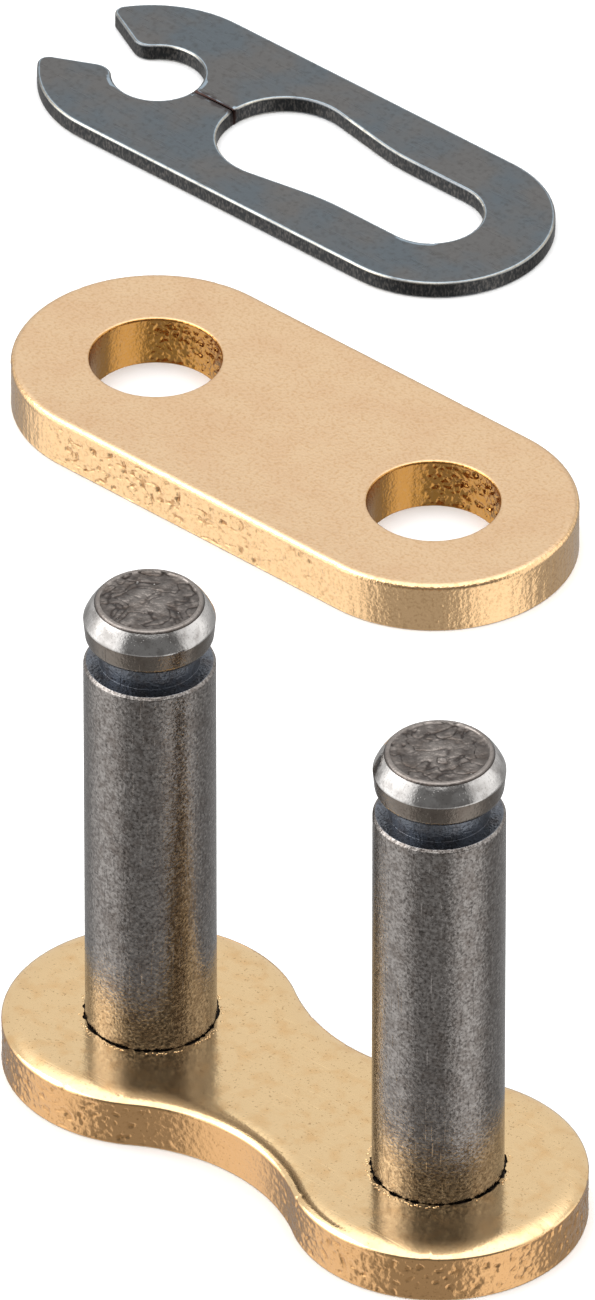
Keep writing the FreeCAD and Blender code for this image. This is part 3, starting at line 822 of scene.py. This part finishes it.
low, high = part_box("cover_plate")
centre = (low + high) / 2
quarter = math.pi / 2
left, right_end = centre.x - reach, centre.x + reach
front, rear = centre.y - COVER_RADIUS, centre.y + COVER_RADIUS
cover_outline = arc(right_end, centre.y, COVER_RADIUS, -quarter, quarter, COVER_STEP)
cover_outline += straight((right_end, rear), (left, rear), COVER_STEP)
cover_outline += arc(left, centre.y, COVER_RADIUS, quarter, 3 * quarter, COVER_STEP)
cover_outline += straight((left, front), (right_end, front), COVER_STEP)
cover_section = rolled_section(COVER_THICKNESS, COVER_ROLL, LOWER_BREAK, COVER_STEP)
bore_section = rolled_section(COVER_THICKNESS, BORE_ROLL, BORE_BREAK, COVER_STEP)
cover_edges = [(cover_outline, cover_section, cover_wall)]
for place in (left, right_end):
    bore = arc(place, centre.y, BORE_RADIUS, 2 * math.pi, 0, COVER_STEP)
    cover_edges.append((bore, bore_section, bore_wall))
cover = blanked("cover_plate_plated", cover_edges)

# Satin gold plating: a paler, pinker gold over a bead-tumbled face, soft to the eye. The walls are
# burnished brighter, with painted brown shade in their cracks, and the bores are browner, for thinner
# plating there and as painted shade. The tumbled grain is really about 0.03 mm and is drawn at
# 0.14 mm to show.
SATIN_GRAIN = 0.14 * MM
SATIN_CLOUD = 1.8 * MM
cover_gold, tree = new_material("satin gold plating")
spot = add_node(tree, "ShaderNodeTexCoord").outputs
slope = add_node(tree, "ShaderNodeSeparateXYZ", links={"Vector": spot["Normal"]}).outputs["Z"]
upward = add_node(tree, "ShaderNodeMath", {"operation": "ABSOLUTE"}, {0: slope}).outputs["Value"]
wall = add_node(
    tree, "ShaderNodeMapRange",
    {"interpolation_type": "SMOOTHSTEP", "From Min": 0.97, "From Max": 0.7}, {"Value": upward},
).outputs["Result"]
grain = add_node(
    tree, "ShaderNodeTexNoise", {"Scale": 1 / SATIN_GRAIN, "Detail": 2.0}, {"Vector": spot["Object"]},
).outputs["Fac"]
cloud = add_node(
    tree, "ShaderNodeTexNoise", {"Scale": 1 / SATIN_CLOUD, "Detail": 3.0}, {"Vector": spot["Object"]},
).outputs["Fac"]
tint = add_node(
    tree, "ShaderNodeMapRange", {"From Min": 0.4, "From Max": 0.7, "To Max": 0.7}, {"Value": cloud},
).outputs["Result"]
satin = add_node(
    tree, "ShaderNodeMix", {"data_type": "RGBA", 6: linear("d5b793"), 7: linear("d0ae8a")}, {0: tint},
).outputs[2]
burnished = add_node(
    tree, "ShaderNodeMix", {"data_type": "RGBA", 7: linear("f3ca98")}, {0: wall, 6: satin},
).outputs[2]

# The bores' walls lie nearer to a bore's axis than any other wall, and are tinted browner by that, for
# thinner plating and as painted shade.
BORE_BAND = 0.2 * MM
BORE_BLUR = 0.05 * MM
from_bore = []
for place in (left, right_end):
    away = add_node(
        tree, "ShaderNodeVectorMath", {"operation": "SUBTRACT", 1: (place, centre.y, 0)},
        {0: spot["Object"]},
    ).outputs["Vector"]
    level = add_node(
        tree, "ShaderNodeVectorMath", {"operation": "MULTIPLY", 1: (1, 1, 0)}, {0: away},
    ).outputs["Vector"]
    from_bore.append(add_node(
        tree, "ShaderNodeVectorMath", {"operation": "LENGTH"}, {0: level},
    ).outputs["Value"])
nearest = add_node(
    tree, "ShaderNodeMath", {"operation": "MINIMUM"}, {0: from_bore[0], 1: from_bore[1]},
).outputs["Value"]
in_bore = add_node(
    tree, "ShaderNodeMapRange",
    {"From Min": BORE_RADIUS + BORE_BAND + BORE_BLUR, "From Max": BORE_RADIUS + BORE_BAND},
    {"Value": nearest},
).outputs["Result"]
pierced = add_node(tree, "ShaderNodeMath", {"operation": "MULTIPLY"}, {0: in_bore, 1: wall}).outputs["Value"]
# Thinner plating and painted shade: the bore walls are drawn browner.
thin_and_shaded = add_node(
    tree, "ShaderNodeMix", {"data_type": "RGBA", 7: linear("b88544")}, {0: pierced, 6: burnished},
).outputs[2]
dull = add_node(
    tree, "ShaderNodeMapRange", {"From Min": 0.48, "From Max": 0.72, "To Max": 0.45}, {"Value": grain},
).outputs["Result"]
colour = add_node(
    tree, "ShaderNodeMix", {"data_type": "RGBA", 7: linear("b98f60")}, {0: dull, 6: thin_and_shaded},
).outputs[2]
depth = add_node(tree, "ShaderNodeAttribute", {"attribute_name": "relief"}).outputs["Fac"]
off_bore = add_node(
    tree, "ShaderNodeMapRange", {"To Min": 0.7, "To Max": 0.0}, {"Value": in_bore},
).outputs["Result"]
# Painted shade: the deeper a crack in the wall, the browner it is drawn; none in the bores.
tear_shade = add_node(
    tree, "ShaderNodeMapRange", {"From Min": 0.045, "From Max": 0.08}, {"Value": depth, "To Max": off_bore},
).outputs["Result"]
colour = add_node(
    tree, "ShaderNodeMix", {"data_type": "RGBA", 7: linear("8f5a24")}, {0: tear_shade, 6: colour},
).outputs[2]
gloss = add_node(
    tree, "ShaderNodeMapRange", {"To Min": 0.38, "To Max": 0.18}, {"Value": wall},
).outputs["Result"]
beaded = add_node(tree, "ShaderNodeBump", {"Distance": 0.01 * MM}, {"Height": grain}).outputs["Normal"]
die_marks = add_node(
    tree, "ShaderNodeBump", {"Distance": 0.016 * MM},
    {"Strength": wall, "Height": grain, "Normal": beaded},
).outputs["Normal"]
shader = add_node(
    tree, "ShaderNodeBsdfPrincipled", {"Metallic": 1.0},
    {"Base Color": colour, "Roughness": gloss, "Normal": die_marks},
)
add_node(tree, "ShaderNodeOutputMaterial", links={"Surface": shader.outputs["BSDF"]})
cover.data.materials.append(cover_gold)
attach(cover, "root")
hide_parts("cover_plate")

# Spring clip: snaps into the groove of one pin and rests in the groove of the other. Spring steel
# strip, blanked, slit between jaw and keyhole, tumbled, then blued by tempering.
CLIP_EDGE_FLOW = 0.17 * MM
CLIP_SHARP_ANGLE = math.radians(32)
clip_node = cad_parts["spring_clip"]
mesh = bmesh.new()
mesh.from_mesh(clip_node.data)
bmesh.ops.transform(mesh, matrix=clip_node.matrix_world, verts=mesh.verts)
bmesh.ops.remove_doubles(mesh, verts=mesh.verts, dist=WELD_DISTANCE)
mesh.normal_update()
for way in (-1, 1):
    flat_faces = [face for face in mesh.faces if face.normal.z * way > 0.9999]
    bmesh.ops.inset_region(mesh, faces=flat_faces, thickness=CLIP_EDGE_FLOW, use_even_offset=False)
clip_data = bpy.data.meshes.new("spring_clip_blued")
mesh.to_mesh(clip_data)
mesh.free()
clip_data.shade_smooth()
clip_data.set_sharp_from_angle(angle=CLIP_SHARP_ANGLE)
clip = bpy.data.objects.new("spring_clip_blued", clip_data)
bpy.context.scene.collection.objects.link(clip)

# Blued spring steel: a dark blue-grey oxide with a satin grain, cloudy where the heat was uneven.
# It is rubbed pale along the round edges, with a painted highlight on them and a painted pale sheen
# just inside them, matt and dark on the blanked walls, and smudged brown and painted dark as shade
# along the slit. The rolling grain is really much finer and is drawn 0.1 mm wide to show.
ROLLING_WIDTH = 0.1 * MM
ROLLING_LENGTH = 2.5 * MM
HEAT_CLOUD = 3.0 * MM
OXIDE_MOTTLE = 0.22 * MM
SLIT_SHADE_WIDTH = 0.1 * MM
SLIT_LENGTH = 3.0 * MM
SLIT_FROM_JAW = 3.22 * MM
SMUDGE_SIZE = 0.35 * MM
SHEAR_WIDTH = 0.09 * MM
SHEAR_LENGTH = 0.22 * MM
clip_low, clip_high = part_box("spring_clip")
clip_middle = (clip_low + clip_high) / 2
slit_middle = clip_high.x - (clip_high.y - clip_low.y) / 2 - LINK_PITCH + SLIT_FROM_JAW
clip_steel, tree = new_material("blued spring steel")
spot = add_node(tree, "ShaderNodeTexCoord").outputs
heat = add_node(
    tree, "ShaderNodeTexNoise", {"Scale": 1 / HEAT_CLOUD, "Detail": 3.0}, {"Vector": spot["Object"]},
).outputs["Fac"]
warm = add_node(
    tree, "ShaderNodeMapRange", {"From Min": 0.42, "From Max": 0.62}, {"Value": heat},
).outputs["Result"]
oxide = add_node(
    tree, "ShaderNodeMix", {"data_type": "RGBA", 6: linear("696867"), 7: linear("61686d")}, {0: warm},
).outputs[2]
slope = add_node(tree, "ShaderNodeSeparateXYZ", links={"Vector": spot["Normal"]}).outputs["Z"]
upward = add_node(tree, "ShaderNodeMath", {"operation": "ABSOLUTE"}, {0: slope}).outputs["Value"]
off_wall = add_node(
    tree, "ShaderNodeMapRange",
    {"interpolation_type": "SMOOTHSTEP", "From Min": 0.2, "From Max": 0.6}, {"Value": upward},
).outputs["Result"]
off_face = add_node(
    tree, "ShaderNodeMapRange",
    {"interpolation_type": "SMOOTHSTEP", "From Min": 0.998, "From Max": 0.9}, {"Value": upward},
).outputs["Result"]
# Rubbed bare steel on the round edges, also brightened there as a painted highlight.
rubbed_and_highlit = add_node(
    tree, "ShaderNodeMath", {"operation": "MULTIPLY"}, {0: off_wall, 1: off_face},
).outputs["Value"]
# Painted sheen: a pale blue-grey band on the faces just inside the round edges.
near_edge = add_node(
    tree, "ShaderNodeMapRange",
    {"interpolation_type": "SMOOTHSTEP", "From Min": 0.9999, "From Max": 0.9975, "To Max": 0.9},
    {"Value": upward},
).outputs["Result"]
edge_sheen = add_node(
    tree, "ShaderNodeMix", {"data_type": "RGBA", 7: linear("a3b3bf")}, {0: near_edge, 6: oxide},
).outputs[2]
bare = add_node(
    tree, "ShaderNodeMix", {"data_type": "RGBA", 6: linear("747678"), 7: linear("b6b1a5")}, {0: warm},
).outputs[2]
bright_edge = add_node(
    tree, "ShaderNodeMix", {"data_type": "RGBA"}, {0: rubbed_and_highlit, 6: edge_sheen, 7: bare},
).outputs[2]
streaks = add_node(
    tree, "ShaderNodeMapping",
    {"Scale": (1 / SHEAR_WIDTH, 1 / SHEAR_WIDTH, 1 / SHEAR_LENGTH)}, {"Vector": spot["Object"]},
).outputs["Vector"]
shear = add_node(
    tree, "ShaderNodeTexNoise", {"Scale": 1.0, "Detail": 2.0}, {"Vector": streaks},
).outputs["Fac"]
sheared = add_node(
    tree, "ShaderNodeMapRange", {"From Min": 0.45, "From Max": 0.68}, {"Value": shear},
).outputs["Result"]
wall_colour = add_node(
    tree, "ShaderNodeMix", {"data_type": "RGBA", 6: linear("343536"), 7: linear("5f5c59")}, {0: sheared},
).outputs[2]
edged = add_node(
    tree, "ShaderNodeMix", {"data_type": "RGBA"}, {0: off_wall, 6: wall_colour, 7: bright_edge},
).outputs[2]

# Brown smudges and painted shade lie along the slit and darken it, and a noise sets how far each reaches.
across = add_node(tree, "ShaderNodeSeparateXYZ", links={"Vector": spot["Object"]}).outputs
at_slit = add_node(
    tree, "ShaderNodeMath", {"operation": "COMPARE", 1: slit_middle, 2: SLIT_LENGTH / 2}, {0: across["X"]},
).outputs["Value"]
off_line = add_node(
    tree, "ShaderNodeMath", {"operation": "SUBTRACT", 1: clip_middle.y}, {0: across["Y"]},
).outputs["Value"]
from_slit = add_node(tree, "ShaderNodeMath", {"operation": "ABSOLUTE"}, {0: off_line}).outputs["Value"]
smudge = add_node(
    tree, "ShaderNodeTexNoise", {"Scale": 1 / SMUDGE_SIZE, "Detail": 2.0}, {"Vector": spot["Object"]},
).outputs["Fac"]
smudge_edge = add_node(
    tree, "ShaderNodeMapRange",
    {"From Min": 0.4, "From Max": 0.65, "To Min": 1.5 * SLIT_SHADE_WIDTH, "To Max": 4 * SLIT_SHADE_WIDTH},
    {"Value": smudge},
).outputs["Result"]
smudged_and_shaded = add_node(
    tree, "ShaderNodeMapRange", {"From Min": SLIT_SHADE_WIDTH, "To Min": 1.0, "To Max": 0.0},
    {"Value": from_slit, "From Max": smudge_edge},
).outputs["Result"]
slit_smudge_and_shade = add_node(
    tree, "ShaderNodeMath", {"operation": "MULTIPLY"}, {0: at_slit, 1: smudged_and_shaded},
).outputs["Value"]
# Partly painted shade: the slit and its lips are drawn dark brown.
edged = add_node(
    tree, "ShaderNodeMix", {"data_type": "RGBA", 7: linear("352724")}, {0: slit_smudge_and_shade, 6: edged},
).outputs[2]

# Darker patches and the grain of the rolled strip cover the whole clip.
mottle = add_node(
    tree, "ShaderNodeTexNoise", {"Scale": 1 / OXIDE_MOTTLE, "Detail": 3.0}, {"Vector": spot["Object"]},
).outputs["Fac"]
patchy = add_node(
    tree, "ShaderNodeMapRange", {"From Min": 0.5, "From Max": 0.75, "To Max": 0.4}, {"Value": mottle},
).outputs["Result"]
colour = add_node(
    tree, "ShaderNodeMix", {"data_type": "RGBA", 7: linear("45423f")}, {0: patchy, 6: edged},
).outputs[2]
rolled = add_node(
    tree, "ShaderNodeMapping",
    {"Scale": (1 / ROLLING_LENGTH, 1 / ROLLING_WIDTH, 1 / ROLLING_WIDTH)}, {"Vector": spot["Object"]},
).outputs["Vector"]
grain = add_node(tree, "ShaderNodeTexNoise", {"Scale": 1.0, "Detail": 3.0}, {"Vector": rolled}).outputs["Fac"]
gloss = add_node(
    tree, "ShaderNodeMapRange", {"From Min": 0.3, "From Max": 0.7, "To Min": 0.26, "To Max": 0.4},
    {"Value": grain},
).outputs["Result"]
brushed = add_node(tree, "ShaderNodeBump", {"Distance": 0.004 * MM}, {"Height": grain}).outputs["Normal"]
shader = add_node(
    tree, "ShaderNodeBsdfPrincipled", {"Metallic": 1.0},
    {"Base Color": colour, "Roughness": gloss, "Normal": brushed},
)
add_node(tree, "ShaderNodeOutputMaterial", links={"Surface": shader.outputs["BSDF"]})
clip_data.materials.append(clip_steel)
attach(clip, "root")
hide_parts("spring_clip")

# Bench: a plain pale top under the whole set. The metals reflect the studio and not the bench,
# as they do over a glossy photographic sheet.
BENCH_SIDE = 0.6
bench_data = bpy.data.meshes.new("bench_top")
bench_corners = [(x * BENCH_SIDE, y * BENCH_SIDE, 0) for x, y in ((-1, -1), (1, -1), (1, 1), (-1, 1))]
bench_data.from_pydata(bench_corners, [], [(0, 1, 2, 3)])
bench = bpy.data.objects.new("bench_top", bench_data)
bpy.context.scene.collection.objects.link(bench)
bench.visible_glossy = False
bench_white, tree = new_material("matt white laminate")
shader = add_node(tree, "ShaderNodeBsdfPrincipled", {"Base Color": linear("f0f0f0"), "Roughness": 0.7})
add_node(tree, "ShaderNodeOutputMaterial", links={"Surface": shader.outputs["BSDF"]})
bench_data.materials.append(bench_white)

# Camera: a long lens from the photograph's side, looking down along the row of pieces.
PICTURE = (595, 1300)
AZIMUTH = math.radians(41.4)
ELEVATION = math.radians(36.3)
DISTANCE = 1150 * MM
SCALE = 24.1 / MM
FOOT_PIXEL = (294, 1087)
right = Vector((math.cos(AZIMUTH), math.sin(AZIMUTH), 0))
level_back = Vector((math.sin(AZIMUTH), -math.cos(AZIMUTH), 0))
back = level_back * math.cos(ELEVATION) + Vector((0, 0, math.sin(ELEVATION)))
up = back.cross(right)
aim = Vector((0, 0, LINK_THICKNESS))
aim += right * (PICTURE[0] / 2 - FOOT_PIXEL[0]) / SCALE
aim += up * (FOOT_PIXEL[1] - PICTURE[1] / 2) / SCALE
camera_data = bpy.data.cameras.new("camera")
camera_data.sensor_fit = "VERTICAL"
camera_data.lens = camera_data.sensor_height * DISTANCE * SCALE / PICTURE[1]
camera_data.clip_start = 0.01
camera_data.clip_end = 10
camera = bpy.data.objects.new("camera", camera_data)
camera.location = aim + back * DISTANCE
camera.rotation_euler = back.to_track_quat("Z", "Y").to_euler()
bpy.context.scene.collection.objects.link(camera)
bpy.context.scene.camera = camera

# Studio: a white tent with a bright roof, a soft box at each side and a paler wall behind. It is
# dim in front, where the photographer stands. Azimuths run from the photographer's side to
# their right. Each box is (azimuth, half width of its middle, half width with its edge, radiance).
LOWER_TENT = 0.45
UPPER_TENT = 0.23
TENT_ROOF = 2.4
BACKDROP = 1.0
lower_boxes = ((-85, 5, 46, 0.8), (54, 5, 38, 0.86))
upper_boxes = ((-80, 12, 42, 1.7), (84, 10, 38, 1.0), (180, 50, 110, 0.65))
world = bpy.data.worlds.new("studio")
bpy.context.scene.world = world
world.use_nodes = True
tree = world.node_tree
tree.nodes.clear()
toward = add_node(tree, "ShaderNodeTexCoord").outputs["Generated"]
rise_of_ray = add_node(tree, "ShaderNodeSeparateXYZ", links={"Vector": toward}).outputs["Z"]
level_ray = add_node(
    tree, "ShaderNodeVectorMath", {"operation": "MULTIPLY", 1: (1, 1, 0)}, {0: toward},
).outputs["Vector"]
heading = add_node(
    tree, "ShaderNodeVectorMath", {"operation": "NORMALIZE"}, {0: level_ray},
).outputs["Vector"]

# Each tent shines at its base and adds its boxes, by how near a ray's heading comes to each.
tents = []
for base, boxes in ((LOWER_TENT, lower_boxes), (UPPER_TENT, upper_boxes)):
    bright = None
    for turn, inner, outer, gain in boxes:
        azimuth = math.radians(turn)
        facing = level_back * math.cos(azimuth) + right * math.sin(azimuth)
        near = add_node(
            tree, "ShaderNodeVectorMath", {"operation": "DOT_PRODUCT", 1: facing}, {0: heading},
        ).outputs["Value"]
        edges = {"From Min": math.cos(math.radians(outer)), "From Max": math.cos(math.radians(inner))}
        box = add_node(
            tree, "ShaderNodeMapRange", {"interpolation_type": "SMOOTHSTEP", "To Max": gain, **edges},
            {"Value": near},
        ).outputs["Result"]
        total = add_node(tree, "ShaderNodeMath", {"operation": "ADD", 0: base}, {1: box})
        if bright:
            tree.links.new(bright, total.inputs[0])
        bright = total.outputs["Value"]
    tents.append(bright)
raised = add_node(
    tree, "ShaderNodeMapRange", {"interpolation_type": "SMOOTHSTEP", "From Min": -0.35, "From Max": 0.1},
    {"Value": rise_of_ray},
).outputs["Result"]
sides = add_node(
    tree, "ShaderNodeMix", {"data_type": "FLOAT"}, {0: raised, 2: tents[0], 3: tents[1]},
).outputs[0]
overhead = add_node(
    tree, "ShaderNodeMapRange", {"interpolation_type": "SMOOTHSTEP", "From Min": 0.62, "From Max": 0.9},
    {"Value": rise_of_ray},
).outputs["Result"]
tent = add_node(
    tree, "ShaderNodeMix", {"data_type": "FLOAT", 3: TENT_ROOF}, {0: overhead, 2: sides},
).outputs[0]
seen = add_node(tree, "ShaderNodeLightPath").outputs["Is Camera Ray"]
light = add_node(
    tree, "ShaderNodeMix", {"data_type": "FLOAT", 3: BACKDROP}, {0: seen, 2: tent},
).outputs[0]
background = add_node(tree, "ShaderNodeBackground", links={"Color": light}).outputs["Background"]
add_node(tree, "ShaderNodeOutputWorld", links={"Surface": background})


def soft_light(name, spot, size, radiance):
    """Square lamp that shines on the set, as bright as the radiance given."""
    data = bpy.data.lights.new(name, "AREA")
    data.size = size
    data.energy = radiance * math.pi * size ** 2
    lamp = bpy.data.objects.new(name, data)
    lamp.location = spot
    lamp.rotation_euler = Vector(spot).to_track_quat("Z", "Y").to_euler()
    bpy.context.scene.collection.objects.link(lamp)
    return lamp


KEY_AZIMUTH = math.radians(-95)
KEY_ELEVATION = math.radians(44)
KEY_DISTANCE = 0.5
KEY_SIZE = 0.34
KEY_RADIANCE = 2.6
FILL_HEIGHT = 0.7
FILL_SIZE = 0.7
FILL_RADIANCE = 0.9
key_level = level_back * math.cos(KEY_AZIMUTH) + right * math.sin(KEY_AZIMUTH)
key_spot = (key_level * math.cos(KEY_ELEVATION) + Vector((0, 0, math.sin(KEY_ELEVATION)))) * KEY_DISTANCE
key = soft_light("key_box", key_spot, KEY_SIZE, KEY_RADIANCE)
key.visible_diffuse = False
fill = soft_light("bench_light", (0, 0, FILL_HEIGHT), FILL_SIZE, FILL_RADIANCE)
fill.visible_glossy = False
bpy.context.scene.view_settings.view_transform = "Standard"
